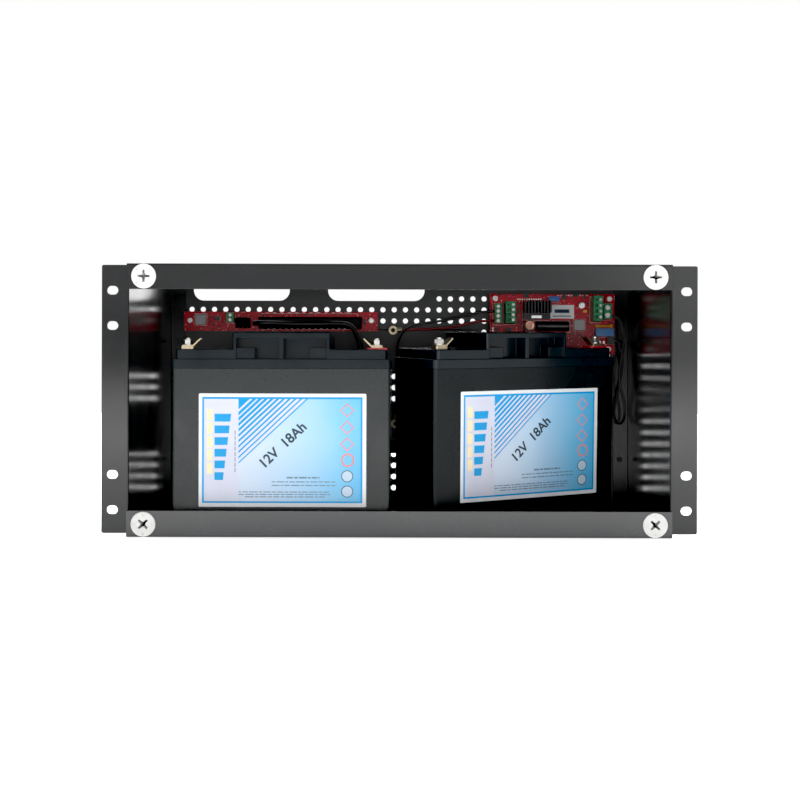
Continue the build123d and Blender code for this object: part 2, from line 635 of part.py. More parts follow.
IN_PLUG = (104.4, 194.4, 9.6, 20.4)
OUT_PLUG = (186.6, 198.2, 9.2, 23.6)
input_header = header(*IN_PLUG, 4, 4.8)
save(input_header, "input_header")
output_header = header(*OUT_PLUG, 4, 5.4)
save(output_header, "output_header")
input_plug = plug(*IN_PLUG, 4, 4.8)
save(input_plug, "input_plug")
output_plug = plug(*OUT_PLUG, 4, 5.4)
save(output_plug, "output_plug")
input_plug_screws = plug_screws(IN_PLUG[0], IN_PLUG[1], IN_PLUG[2], 4, 4.8)
save(input_plug_screws, "input_plug_screws")
output_plug_screws = plug_screws(OUT_PLUG[0], OUT_PLUG[1], OUT_PLUG[2], 4, 5.4)
save(output_plug_screws, "output_plug_screws")

# =====================================================================
# Batteries. Each has its own frame: origin at the front left bottom
# corner, x along the front, y to the rear, z up.
# =====================================================================
LEFT_FRAME = Plane(origin=(-187.95, -76.0, BAT_FLOOR))
# the right one is turned about the vertical, and its rear stands on a pad
RIGHT_FRAME = Plane(
    origin=(28.3, -70.0, BAT_FLOOR),
    x_dir=Vector(cos(radians(TILT)), sin(radians(TILT)), 0).rotate(Axis.X, LEAN),
    z_dir=Vector(0, 0, 1).rotate(Axis.X, LEAN),
)
CX, CY = BAT_L / 2, BAT_D / 2
BLOCK_W, POST_W, WIN_Z0, WIN_Z1, POCKET = 80.4, 3.7, 144.0, 160.9, 15.0
TERM_X, TERM_Y = (12.0, 169.0), 14.0
LABEL_W, LABEL_H = 137.6, 93.1
FOOT_R = 2.0
CELLS = 6


def front_plane(frame, depth=0.0):
    """Vertical plane facing the battery's front, `depth` behind it, with x to the right and y up."""
    return Plane(origin=frame.from_local_coords((0, depth, 0)), x_dir=frame.x_dir, z_dir=-frame.y_dir)


def make_battery(frame, name, label_x, label_z):
    with BuildPart() as container:
        with BuildSketch(frame):
            with Locations((CX, CY)):
                RectangleRounded(BAT_L - 1.0, BAT_D - 1.0, 3.0)
        extrude(amount=SKIRT_Z0)
        # rounded lower rim, which the case rolls on when it is tipped forward
        fillet(container.faces().sort_by(Axis(frame.origin, frame.z_dir))[0:1].edges(), FOOT_R)
        # six cell compartments
        with BuildSketch(frame.offset(WALL)):
            with Locations((CX, CY)):
                with GridLocations((BAT_L - 1 - WALL) / CELLS, 1, CELLS, 1):
                    Rectangle((BAT_L - 1 - WALL) / CELLS - 1.6, BAT_D - 1 - 2 * WALL)
        extrude(amount=SKIRT_Z0, mode=Mode.SUBTRACT)
    save(container, name + "_container")

    with BuildPart() as packs:
        # lead plates of each cell, joined by a strap on top
        for k in range(CELLS):
            cx = CX + (k - (CELLS - 1) / 2) * (BAT_L - 1 - WALL) / CELLS
            with BuildSketch(frame.offset(WALL)):
                with Locations((cx, CY)):
                    with GridLocations(4.4, 1, 6, 1):
                        Rectangle(2.7, 67.0)
            extrude(amount=112.0)
            with BuildSketch(frame.offset(WALL + 108.0)):
                with Locations((cx, CY)):
                    Rectangle(25.2, 12.0)
            extrude(amount=9.0)
    save(packs, name + "_plate_packs")

    with BuildPart() as lid:
        with BuildSketch(frame.offset(SKIRT_Z0)):
            with Locations((CX, CY)):
                RectangleRounded(BAT_L, BAT_D, 3.4)
        extrude(amount=SKIRT_Z1 - SKIRT_Z0)
        with BuildSketch(frame.offset(SKIRT_Z1)):
            with Locations((CX, CY)):
                RectangleRounded(BAT_L - 7.4, BAT_D - 3.0, 2.4)
        extrude(amount=SHOULDER_Z - SKIRT_Z1)
        fillet(lid.faces().sort_by(Axis(frame.origin, frame.z_dir))[-1:].edges(), 0.8)
        with BuildSketch(frame.offset(SHOULDER_Z - 2.0)):
            with Locations((CX, CY)):
                RectangleRounded(BLOCK_W, BAT_D - 3.0, 1.6)
        extrude(amount=BLOCK_Z - SHOULDER_Z + 2.0)
        fillet(lid.faces().sort_by(Axis(frame.origin, frame.z_dir))[-1:].edges(), 0.9)
        # hollow underside over the cells
        with BuildSketch(frame.offset(SKIRT_Z0)):
            with Locations((CX, CY)):
                Rectangle(BAT_L - 9.0, BAT_D - 9.0)
        extrude(amount=4.5, mode=Mode.SUBTRACT)
        # finger pockets in the front and the rear of the handle block
        for depth, sign in ((0.0, -1), (BAT_D, 1)):
            face = front_plane(frame, depth)
            with BuildSketch(face):
                with Locations((CX - (BLOCK_W / 2 - 3.0 + POST_W / 2) / 2, (WIN_Z0 + WIN_Z1) / 2),
                               (CX + (BLOCK_W / 2 - 3.0 + POST_W / 2) / 2, (WIN_Z0 + WIN_Z1) / 2)):
                    Rectangle(BLOCK_W / 2 - 3.0 - POST_W / 2, WIN_Z1 - WIN_Z0)
            extrude(amount=sign * POCKET + sign * 1.5, mode=Mode.SUBTRACT)
            # stepped blocks in the pockets' lower outer corners
            with BuildSketch(front_plane(frame, depth - sign * 4.0)):
                with Locations((CX - BLOCK_W / 2 + 3.0 + 7.4, WIN_Z0 + 4.4), (CX + BLOCK_W / 2 - 3.0 - 6.4, WIN_Z0 + 4.4)):
                    Rectangle(15.4, 9.2)
            extrude(amount=sign * 13.0)
        # pocket floor wells of the two terminals
        with BuildSketch(frame.offset(SHOULDER_Z)):
            with Locations(*[(x, TERM_Y) for x in TERM_X]):
                RectangleRounded(15.0, 15.0, 1.5)
        extrude(amount=-1.0, mode=Mode.SUBTRACT)
        # valve strip line on top of the block
        with BuildSketch(frame.offset(BLOCK_Z)):
            with Locations((CX, CY)):
                RectangleRounded(70.0, 26.0, 2.0)
                RectangleRounded(68.8, 24.8, 1.6, mode=Mode.SUBTRACT)
        extrude(amount=-0.6, mode=Mode.SUBTRACT)
    save(lid, name + "_lid")

    with BuildPart() as terminals:
        for x, inward in ((TERM_X[0], 1), (TERM_X[1], -1)):
            # lead foot in its well, then the flag bent up towards the middle
            with BuildSketch(frame.offset(SHOULDER_Z - 1.0)):
                with Locations((x, TERM_Y)):
                    RectangleRounded(11.0, 11.0, 1.2)
            extrude(amount=3.6)
            with BuildSketch(front_plane(frame, TERM_Y - 4.0)):
                with BuildLine():
                    Polyline((x - inward * 4.5, SHOULDER_Z + 2.6), (x + inward * 5.0, SHOULDER_Z + 2.6),
                             (x + inward * 11.2, SHOULDER_Z + 8.8), (x + inward * 10.4, SHOULDER_Z + 9.6),
                             (x + inward * 4.5, SHOULDER_Z + 3.8), (x - inward * 4.5, SHOULDER_Z + 3.8), close=True)
                make_face()
            extrude(amount=-8.0)
            with BuildSketch(frame.offset(SHOULDER_Z + 3.8)):
                with Locations((x, TERM_Y)):
                    Circle(2.6)
            extrude(amount=-4.8, mode=Mode.SUBTRACT)
    save(terminals, name + "_terminals")

    with BuildPart() as bolts:
        for x in TERM_X:
            with BuildSketch(frame.offset(SHOULDER_Z + 3.8)):
                with Locations((x, TERM_Y)):
                    Circle(4.4)
            extrude(amount=0.9)
            with BuildSketch(frame.offset(SHOULDER_Z + 4.7)):
                with Locations((x, TERM_Y)):
                    RegularPolygon(4.4, 6)
            extrude(amount=3.6)
            with BuildSketch(frame.offset(SHOULDER_Z + 8.3)):
                with Locations((x, TERM_Y)):
                    Circle(2.5)
            extrude(amount=1.4)
            with BuildSketch(frame.offset(SHOULDER_Z + 4.0)):
                with Locations((x, TERM_Y)):
                    Circle(2.5)
            extrude(amount=-4.6)
    save(bolts, name + "_bolts")

    with BuildPart() as ring:
        # red washer of the positive pole
        with BuildSketch(frame.offset(SHOULDER_Z)):
            with Locations((TERM_X[1], TERM_Y)):
                RectangleRounded(17.5, 14.5, 2.0)
                RectangleRounded(11.4, 11.4, 1.3, mode=Mode.SUBTRACT)
        extrude(amount=1.6)
    save(ring, name + "_positive_ring")

    with BuildPart() as sticker:
        with BuildSketch(front_plane(frame, 0.5)):
            with Locations((label_x + LABEL_W / 2, label_z + LABEL_H / 2)):
                RectangleRounded(LABEL_W, LABEL_H, 1.0)
        extrude(amount=0.2)
    save(sticker, name + "_label")


make_battery(LEFT_FRAME, "battery_left", 23.15, 22.0)
make_battery(RIGHT_FRAME, "battery_right", 25.3, 23.4)

# Rubber wedge that the right battery's rear stands on.
with BuildPart() as battery_rest_pad:
    foot = RIGHT_FRAME.from_local_coords((BAT_L / 2, 54.0, 0))
    with BuildSketch(Plane(origin=(foot.X, foot.Y, T)).rotated((0, 0, TILT))):
        RectangleRounded(150.0, 30.0, 4.0)
    extrude(amount=16.0)
    split(bisect_by=Plane(origin=RIGHT_FRAME.origin, x_dir=RIGHT_FRAME.x_dir, z_dir=RIGHT_FRAME.z_dir), keep=Keep.BOTTOM)
save(battery_rest_pad, "battery_rest_pad")

# =====================================================================
# Leads
# =====================================================================


def cord(label, points, dia):
    """Round lead along straight runs joined by tangent arcs."""
    v = [Vector(*p) for p in points]
    radii = []
    for a, b, c in zip(v, v[1:], v[2:]):
        u, w = b - a, c - b
        radii.append(0.45 * min(u.length, w.length) / tan(radians(u.get_angle(w) / 2)))
    runs = [(b - a).length for a, b in zip(v, v[1:])]
    with BuildPart() as lead:
        with BuildLine():
            route = FilletPolyline(*points, radius=radii)
        with BuildSketch(Plane(origin=route @ 0, z_dir=route % 0)):
            Circle(dia / 2)
        sweep(path=route)
    want = pi * dia * dia / 4 * route.length
    print(label, "length", round(route.length, 1), "radii", [round(r, 1) for r in radii], "runs",
          [round(r, 1) for r in runs], "volume/section*length", round(lead.part.volume / want, 4))
    save(lead, label)


RED_D, BLACK_D, LOOP_D, LINK_D = 2.6, 2.4, 2.6, 5.0
RED_ROUTE = [(90.1, 74.0, 186.9), (79.5, 73.2, 187.1), (68.5, 72.3, 185.4), (57.0, 71.9, 182.2), (45.0, 72.2, 180.1),
             (33.0, 72.8, 179.2), (20.5, 73.1, 178.9), (10.0, 72.7, 178.6), (2.0, 71.9, 178.2)]
BLACK_ROUTE = [(90.1, 74.0, 196.1), (79.5, 72.0, 195.9), (68.5, 69.8, 193.3), (55.5, 68.2, 189.5), (41.0, 67.8, 186.7),
               (26.0, 68.4, 184.8), (12.0, 68.0, 182.6), (2.0, 64.4, 175.8), (-2.6, 59.4, 163.0), (-2.2, 55.0, 147.0),
               (-3.6, 49.6, 130.0), (-2.8, 44.6, 113.0), (-3.4, 42.6, 98.0)]
LOOP_ROUTE = [(201.0, 73.9, 192.5), (207.0, 72.6, 191.0), (211.4, 71.0, 184.0), (213.4, 70.2, 172.0), (211.0, 70.6, 156.0),
              (208.0, 71.0, 139.0), (209.6, 71.2, 123.0), (213.6, 71.4, 109.0), (214.6, 73.0, 97.5), (212.4, 76.4, 90.0),
              (208.6, 81.0, 89.4), (206.0, 84.2, 95.5), (206.2, 85.0, 106.0), (209.6, 84.6, 121.0), (213.0, 83.6, 136.0),
              (213.2, 80.4, 149.0), (212.2, 76.6, 159.6), (209.8, 73.9, 168.6), (203.8, 73.9, 168.6)]
LINK_ROUTE = [(-138.4, 76.9, 184.4), (-138.4, 70.4, 184.4), (-131.0, 66.6, 184.2), (-118.0, 65.8, 183.6), (-98.0, 66.0, 183.0),
              (-76.0, 65.6, 183.1), (-58.0, 65.8, 183.7), (-47.0, 65.2, 182.6), (-40.6, 63.4, 175.0), (-36.6, 60.4, 160.0),
              (-33.0, 55.6, 141.0), (-29.0, 49.0, 122.0), (-25.0, 43.4, 106.0), (-22.8, 40.4, 94.6), (-22.0, 43.6, 85.5),
              (-22.0, 51.5, 85.5)]
cord("battery_lead_red", RED_ROUTE, RED_D)
cord("battery_lead_black", BLACK_ROUTE, BLACK_D)
cord("signal_loop_cable", LOOP_ROUTE, LOOP_D)
cord("board_link_cable", LINK_ROUTE, LINK_D)

# Ring lugs crimped to the free ends of the two battery leads.
with BuildPart() as ring_lugs:
    for route, wire, face in ((RED_ROUTE, RED_D, Vector(0.0, -1.0, 0.0)), (BLACK_ROUTE, BLACK_D, Vector(0.0, -1.0, 0.0))):
        tip, before = Vector(*route[-1]), Vector(*route[-2])
        out = (tip - before).normalized()
        flat = (face - out * face.dot(out)).normalized()
        with BuildSketch(Plane(origin=tip, z_dir=out)):
            Circle(wire / 2 + 0.7)
        extrude(amount=5.0)
        ring = Plane(origin=tip + out * 8.4, x_dir=out, z_dir=flat)
        with BuildSketch(ring.offset(-0.4)):
            Circle(4.2)
            with Locations((-3.0, 0)):
                Rectangle(4.0, 4.0)
            Circle(2.1, mode=Mode.SUBTRACT)
        extrude(amount=0.8)
save(ring_lugs, "ring_lugs")
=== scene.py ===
import bpy, bmesh, math
from mathutils import Vector, Matrix


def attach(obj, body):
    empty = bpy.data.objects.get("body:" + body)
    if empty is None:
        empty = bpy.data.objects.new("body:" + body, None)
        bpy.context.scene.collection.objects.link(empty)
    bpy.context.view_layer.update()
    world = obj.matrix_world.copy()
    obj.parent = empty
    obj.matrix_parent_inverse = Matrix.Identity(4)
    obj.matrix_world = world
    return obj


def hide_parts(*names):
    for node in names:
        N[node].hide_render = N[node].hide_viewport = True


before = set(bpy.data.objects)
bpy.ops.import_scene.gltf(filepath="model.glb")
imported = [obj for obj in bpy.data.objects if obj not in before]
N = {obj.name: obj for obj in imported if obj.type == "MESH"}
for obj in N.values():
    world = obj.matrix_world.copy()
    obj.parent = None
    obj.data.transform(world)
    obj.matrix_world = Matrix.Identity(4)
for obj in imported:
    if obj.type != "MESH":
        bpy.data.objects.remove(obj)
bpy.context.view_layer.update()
scene = bpy.context.scene
scene.view_settings.view_transform = "Standard"
scene.view_settings.look = "None"
scene.view_settings.use_curve_mapping = True
scene.view_settings.curve_mapping.black_level = (0.006, 0.006, 0.006)
scene.view_settings.curve_mapping.update()

MM = 0.001


# ------------------------------------------------------------------ camera
cam_data = bpy.data.cameras.new("camera")
cam_data.sensor_width = 36.0
cam_data.lens = 51.5
cam_data.clip_start = 0.01
cam = bpy.data.objects.new("camera", cam_data)
scene.collection.objects.link(cam)
cam.location = (0.0004, -1.0155, 0.112)
cam.rotation_euler = (math.radians(90), math.radians(-0.15), 0)
scene.camera = cam


# ------------------------------------------------------------------ world, floor and lights
world = bpy.data.worlds.new("studio")
scene.world = world
world.use_nodes = True
wt = world.node_tree
wt.nodes.clear()
w_out = wt.nodes.new("ShaderNodeOutputWorld")
w_mix = wt.nodes.new("ShaderNodeMixShader")
w_cam = wt.nodes.new("ShaderNodeBackground")
w_cam.inputs[0].default_value = (1, 1, 1, 1)
w_cam.inputs[1].default_value = 1.0
w_env = wt.nodes.new("ShaderNodeBackground")
w_tc = wt.nodes.new("ShaderNodeTexCoord")
w_sep = wt.nodes.new("ShaderNodeSeparateXYZ")
w_ramp = wt.nodes.new("ShaderNodeValToRGB")
w_ramp.color_ramp.elements[0].position = 0.40
w_ramp.color_ramp.elements[0].color = (0.008, 0.0085, 0.0095, 1)
w_ramp.color_ramp.elements[1].position = 0.62
w_ramp.color_ramp.elements[1].color = (1, 1, 1, 1)
w_map = wt.nodes.new("ShaderNodeMapRange")
w_map.inputs["From Min"].default_value = -1
w_map.inputs["From Max"].default_value = 1
wt.links.new(w_tc.outputs["Generated"], w_sep.inputs[0])
wt.links.new(w_sep.outputs["Y"], w_map.inputs["Value"])
wt.links.new(w_map.outputs[0], w_ramp.inputs[0])
wt.links.new(w_ramp.outputs[0], w_env.inputs[0])
# the pale surroundings seen past the right rear are dim but for two strips
w_side = wt.nodes.new("ShaderNodeMath")
w_side.operation = "LESS_THAN"
w_side.inputs[1].default_value = -0.10
wt.links.new(w_sep.outputs["X"], w_side.inputs[0])
w_b1 = wt.nodes.new("ShaderNodeMath")
w_b1.operation = "COMPARE"
w_b1.inputs[1].default_value = 0.0291
w_b1.inputs[2].default_value = 0.007
wt.links.new(w_sep.outputs["Z"], w_b1.inputs[0])
w_b2 = wt.nodes.new("ShaderNodeMath")
w_b2.operation = "COMPARE"
w_b2.inputs[1].default_value = -0.0373
w_b2.inputs[2].default_value = 0.007
wt.links.new(w_sep.outputs["Z"], w_b2.inputs[0])
w_bands = wt.nodes.new("ShaderNodeMath")
w_bands.operation = "MAXIMUM"
wt.links.new(w_b1.outputs[0], w_bands.inputs[0])
wt.links.new(w_b2.outputs[0], w_bands.inputs[1])
w_dark = wt.nodes.new("ShaderNodeMath")
w_dark.operation = "SUBTRACT"
w_dark.inputs[0].default_value = 1.0
wt.links.new(w_bands.outputs[0], w_dark.inputs[1])
w_cut = wt.nodes.new("ShaderNodeMath")
w_cut.operation = "MULTIPLY"
w_low = wt.nodes.new("ShaderNodeMath")
w_low.operation = "COMPARE"
w_low.inputs[1].default_value = 0.0
w_low.inputs[2].default_value = 0.25
wt.links.new(w_sep.outputs["Z"], w_low.inputs[0])
w_zone = wt.nodes.new("ShaderNodeMath")
w_zone.operation = "MULTIPLY"
wt.links.new(w_side.outputs[0], w_zone.inputs[0])
wt.links.new(w_low.outputs[0], w_zone.inputs[1])
wt.links.new(w_zone.outputs[0], w_cut.inputs[0])
wt.links.new(w_dark.outputs[0], w_cut.inputs[1])
w_str = wt.nodes.new("ShaderNodeMath")
w_str.operation = "MULTIPLY_ADD"
w_str.inputs[1].default_value = -2.75
w_str.inputs[2].default_value = 3.0
wt.links.new(w_cut.outputs[0], w_str.inputs[0])
wt.links.new(w_str.outputs[0], w_env.inputs[1])
w_lp = wt.nodes.new("ShaderNodeLightPath")
wt.links.new(w_lp.outputs["Is Camera Ray"], w_mix.inputs[0])
wt.links.new(w_env.outputs[0], w_mix.inputs[1])
wt.links.new(w_cam.outputs[0], w_mix.inputs[2])
wt.links.new(w_mix.outputs[0], w_out.inputs[0])


def softbox(name, at, look, size, radiance, color=(1, 1, 1)):
    data = bpy.data.lights.new(name, "AREA")
    data.shape = "RECTANGLE"
    data.size, data.size_y = size
    data.energy = radiance * math.pi * size[0] * size[1]
    data.color = color
    o = bpy.data.objects.new(name, data)
    scene.collection.objects.link(o)
    o.location = at
    o.rotation_euler = (Vector(look) - Vector(at)).to_track_quat("-Z", "Y").to_euler()
    o.visible_camera = False
    return o


softbox("low_front", (0.0, -1.45, 0.075), (0.0, 0.0, 0.08), (2.2, 0.15), 3.1)
softbox("front_fill", (0.0, -1.9, 0.78), (0.0, 0.0, 0.10), (2.4, 1.0), 1.05)
softbox("key_right", (0.62, -1.22, 0.40), (0.10, -0.05, 0.10), (0.5, 0.5), 0.95)
softbox("top", (0.0, -0.2, 1.6), (0, 0, 0.1), (1.6, 1.2), 0.8)


# ------------------------------------------------------------------ material helpers
class Mat:
    def __init__(self, name):
        self.m = bpy.data.materials.new(name)
        self.m.use_nodes = True
        self.t = self.m.node_tree
        self.p = self.t.nodes["Principled BSDF"]
        self.tc = self.t.nodes.new("ShaderNodeTexCoord")
        self.normal = None

    def node(self, kind, **inputs):
        n = self.t.nodes.new(kind)
        for k, v in inputs.items():
            n.inputs[k].default_value = v
        return n

    def link(self, a, b):
        self.t.links.new(a, b)

    def noise(self, scale, detail=3.0, rough=0.5, stretch=None):
        n = self.node("ShaderNodeTexNoise", Scale=scale, Detail=detail, Roughness=rough)
        if stretch:
            mp = self.node("ShaderNodeMapping")
            mp.inputs["Scale"].default_value = stretch
            self.link(self.tc.outputs["Object"], mp.inputs[0])
            self.link(mp.outputs[0], n.inputs["Vector"])
        else:
            self.link(self.tc.outputs["Object"], n.inputs["Vector"])
        return n

    def remap(self, out, lo, hi, a=0.3, b=0.7):
        r = self.node("ShaderNodeMapRange")
        r.inputs["From Min"].default_value = a
        r.inputs["From Max"].default_value = b
        r.inputs["To Min"].default_value = lo
        r.inputs["To Max"].default_value = hi
        self.link(out, r.inputs["Value"])
        return r.outputs[0]

    def mix(self, fac, c1, c2):
        n = self.t.nodes.new("ShaderNodeMix")
        n.data_type = "RGBA"
        if isinstance(fac, float):
            n.inputs[0].default_value = fac
        else:
            self.link(fac, n.inputs[0])
        for sock, c in ((n.inputs[6], c1), (n.inputs[7], c2)):
            if isinstance(c, tuple):
                sock.default_value = c if len(c) == 4 else (*c, 1)
            else:
                self.link(c, sock)
        return n.outputs[2]

    def bump(self, height, strength, distance):
        b = self.node("ShaderNodeBump", Strength=strength, Distance=distance)
        self.link(height, b.inputs["Height"])
        if self.normal is not None:
            self.link(self.normal, b.inputs["Normal"])
        self.normal = b.outputs[0]

    def bevel(self, radius, samples=6):
        b = self.node("ShaderNodeBevel", Radius=radius)
        b.samples = samples
        self.normal = b.outputs[0]
        return b

    def edge(self, radius, gain=8.0):
        """0 on flat faces, up to 1 along sharp edges."""
        b = self.node("ShaderNodeBevel", Radius=radius)
        b.samples = 6
        g = self.t.nodes.new("ShaderNodeNewGeometry")
        d = self.t.nodes.new("ShaderNodeVectorMath")
        d.operation = "DOT_PRODUCT"
        self.link(b.outputs[0], d.inputs[0])
        self.link(g.outputs["Normal"], d.inputs[1])
        s = self.node("ShaderNodeMath")
        s.operation = "SUBTRACT"
        s.inputs[0].default_value = 1.0
        self.link(d.outputs["Value"], s.inputs[1])
        k = self.node("ShaderNodeMath")
        k.operation = "MULTIPLY"
        k.use_clamp = True
        k.inputs[1].default_value = gain
        self.link(s.outputs[0], k.inputs[0])
        return k.outputs[0]

    def done(self):
        if self.normal is not None:
            self.link(self.normal, self.p.inputs["Normal"])
        return self.m

    def set(self, **kw):
        for k, v in kw.items():
            self.p.inputs[k.replace("_", " ")].default_value = v


def c4(r, g, b):
    return (r, g, b, 1.0)


def srgb(r, g, b):
    f = lambda v: v / 255 / 12.92 if v <= 10 else ((v / 255 + 0.055) / 1.055) ** 2.4
    return (f(r), f(g), f(b), 1.0)


def powder_coat(name, base, rough=0.42, edge_highlight=0.25, spec=0.5):
    k = Mat(name)
    n = k.noise(26, 4)
    fine = k.noise(1500, 2, 0.6)
    dark = tuple(v * 0.86 for v in base[:3])
    lite = tuple(min(1, v * 1.14) for v in base[:3])
    col = k.mix(k.remap(n.outputs[0], 0, 1), dark, lite)
    col = k.mix(k.remap(fine.outputs[0], 0.0, 0.22, 0.45, 0.75), col, tuple(min(1, v * 1.6) for v in base[:3]))
    # patchy painted edge highlight: the base colour is lightened along sharp edges, broken up by noise
    e = k.edge(0.0009, 5.0)
    edge_highlight_noise = k.noise(180, 5, 0.65)
    em = k.node("ShaderNodeMath")
    em.operation = "MULTIPLY"
    k.link(e, em.inputs[0])
    k.link(k.remap(edge_highlight_noise.outputs[0], 0.15 * edge_highlight, edge_highlight, 0.35, 0.65), em.inputs[1])
    col = k.mix(em.outputs[0], col, tuple(min(1, v * 2.6 + 0.03) for v in base[:3]))
    k.link(col, k.p.inputs["Base Color"])
    k.link(k.remap(n.outputs[0], rough - 0.02, rough + 0.03), k.p.inputs["Roughness"])
    k.bevel(0.00045)
    k.bump(fine.outputs[0], 0.10, 0.00006)
    k.set(Specular_IOR_Level=spec)
    return k.done()


def plastic(name, base, rough=0.35, grain=900.0, bump=0.12, bevel=0.0006, coat=0.0, vary=0.1, spec=0.5):
    k = Mat(name)
    n = k.noise(40, 4)
    g = k.noise(grain, 2, 0.55)
    col = k.mix(k.remap(n.outputs[0], 0, 1), tuple(v * (1 - vary) for v in base[:3]), tuple(min(1, v * (1 + vary)) for v in base[:3]))
    k.link(col, k.p.inputs["Base Color"])
    k.link(k.remap(n.outputs[0], rough - 0.05, rough + 0.06), k.p.inputs["Roughness"])
    if bevel:
        k.bevel(bevel)
    k.bump(g.outputs[0], bump, 0.00008)
    k.set(Specular_IOR_Level=spec, Coat_Weight=coat, Coat_Roughness=0.12)
    return k.done()


def metal(name, base, rough=0.3, stretch=(1, 1, 1), bump=0.1, scale=700, bevel=0.0002):
    k = Mat(name)
    n = k.noise(scale, 3, 0.6, stretch)
    big = k.noise(60, 3)
    col = k.mix(k.remap(big.outputs[0], 0, 1), tuple(v * 0.85 for v in base[:3]), tuple(min(1, v * 1.08) for v in base[:3]))
    k.link(col, k.p.inputs["Base Color"])
    k.link(k.remap(n.outputs[0], rough - 0.08, rough + 0.1), k.p.inputs["Roughness"])
    if bevel:
        k.bevel(bevel)
    k.bump(n.outputs[0], bump, 0.00005)
    k.set(Metallic=1.0)
    return k.done()


def board_material(name, base, trace):
    """Solder mask over fine copper tracks, with tinned through-holes."""
    k = Mat(name)
    mp = k.node("ShaderNodeMapping")
    mp.inputs["Rotation"].default_value = (math.radians(90), 0, 0)
    k.link(k.tc.outputs["Object"], mp.inputs[0])
    br = k.node("ShaderNodeTexBrick", Scale=1.0)
    br.inputs["Brick Width"].default_value = 0.0092
    br.inputs["Row Height"].default_value = 0.0013
    br.inputs["Mortar Size"].default_value = 0.00022
    br.inputs["Mortar Smooth"].default_value = 0.15
    br.inputs["Color1"].default_value = (0, 0, 0, 1)
    br.inputs["Color2"].default_value = (0, 0, 0, 1)
    br.inputs["Mortar"].default_value = (1, 1, 1, 1)
    br.offset = 0.37
    k.link(mp.outputs[0], br.inputs["Vector"])
    br2 = k.node("ShaderNodeTexBrick", Scale=1.0)
    br2.inputs["Brick Width"].default_value = 0.0031
    br2.inputs["Row Height"].default_value = 0.0074
    br2.inputs["Mortar Size"].default_value = 0.0002
    br2.inputs["Color1"].default_value = (0, 0, 0, 1)
    br2.inputs["Color2"].default_value = (0, 0, 0, 1)
    br2.inputs["Mortar"].default_value = (1, 1, 1, 1)
    br2.offset = 0.61
    k.link(mp.outputs[0], br2.inputs["Vector"])
    where = k.noise(110, 1)
    tracks = k.mix(k.remap(where.outputs[0], 0, 1, 0.48, 0.52), br.outputs[0], br2.outputs[0])
    vor = k.node("ShaderNodeTexVoronoi", Scale=330.0)
    vor.inputs["Randomness"].default_value = 0.85
    k.link(mp.outputs[0], vor.inputs["Vector"])
    via = k.remap(vor.outputs["Distance"], 1, 0, 0.14, 0.17)
    big = k.noise(35, 3)
    col = k.mix(k.remap(big.outputs[0], 0, 1), tuple(v * 0.75 for v in base[:3]), tuple(min(1, v * 1.2) for v in base[:3]))
    col = k.mix(tracks, col, trace)
    col = k.mix(via, col, (0.55, 0.50, 0.46))
    k.link(col, k.p.inputs["Base Color"])
    k.link(k.remap(big.outputs[0], 0.25, 0.38), k.p.inputs["Roughness"])
    k.bump(tracks, 0.25, 0.00008)
    k.set(Specular_IOR_Level=0.28, Coat_Weight=0.08, Coat_Roughness=0.15)
    return k.done()


M = {}
M["paint"] = powder_coat("chassis_powder_coat", (0.0085, 0.0092, 0.0100), 0.17)
# bottom panel: a brighter, glossier copy of the chassis coat, painted light for the lower rail lit from below
M["paint_lit_floor"] = powder_coat("chassis_powder_coat_floor_painted_light", (0.020, 0.0212, 0.0225), 0.19, spec=0.82)
M["paint_in"] = powder_coat("back_panel_coat", (0.004, 0.0062, 0.0068), 0.36)
M["paint_black"] = powder_coat("black_coat", (0.008, 0.008, 0.009), 0.45, 0.15)
M["zinc"] = metal("zinc_plate", (0.62, 0.62, 0.60), 0.32, (1, 6, 1))
M["nylon"] = plastic("white_nylon", (0.80, 0.80, 0.78), 0.42, 500, 0.1, 0.0003, vary=0.03)
M["case"] = plastic("battery_case_abs", (0.006, 0.0098, 0.0105), 0.26, 1400, 0.14, 0.0008, vary=0.04, spec=0.42)
# right battery case: a darker, less glossy copy of the left case's ABS, painted shade for the turned pack
M["case_painted_shade"] = plastic("battery_case_abs_painted_shade", (0.004, 0.0070, 0.0082), 0.26, 1400, 0.14, 0.0008, vary=0.04, spec=0.20)
M["lid"] = plastic("battery_lid_abs", (0.0035, 0.0085, 0.0125), 0.22, 900, 0.08, 0.0007, coat=0.03, vary=0.08, spec=0.24)
M["lead_metal"] = metal("lead_plate", (0.33, 0.33, 0.35), 0.55, bump=0.4, scale=400)
M["terminal"] = metal("tinned_brass", (0.46, 0.39, 0.27), 0.34, (1, 1, 4), 0.15, 900)
M["bolt"] = metal("plated_bolt", (0.50, 0.49, 0.46), 0.33, (1, 1, 4), 0.12, 900)
M["red_ring"] = plastic("red_ring", (0.62, 0.02, 0.03), 0.28, 700, 0.05, 0.0002, coat=0.2)
M["film"] = plastic("label_film", (0.85, 0.87, 0.89), 0.24, 350, 0.03, 0.0, coat=0.05, vary=0.02, spec=0.3)
M["pcb"] = board_material("red_solder_mask", (0.46, 0.003, 0.014), (0.60, 0.010, 0.026))
M["fr1"] = board_material("bare_laminate", (0.22, 0.15, 0.06), (0.4, 0.25, 0.1))
M["chip"] = plastic("component_black", (0.018, 0.018, 0.02), 0.4, 1200, 0.15, 0.00015)
M["grey_can"] = metal("shield_can", (0.24, 0.24, 0.25), 0.45, (1, 1, 1), 0.2, 1100)
M["green"] = plastic("terminal_green", (0.012, 0.23, 0.085), 0.36, 700, 0.08, 0.0002, vary=0.12)
M["anodised"] = metal("black_anodised", (0.035, 0.035, 0.038), 0.38, (8, 1, 1), 0.2, 600)
M["black_sleeve"] = plastic("black_sleeve", (0.012, 0.012, 0.013), 0.3, 600, 0.1, 0.0004)
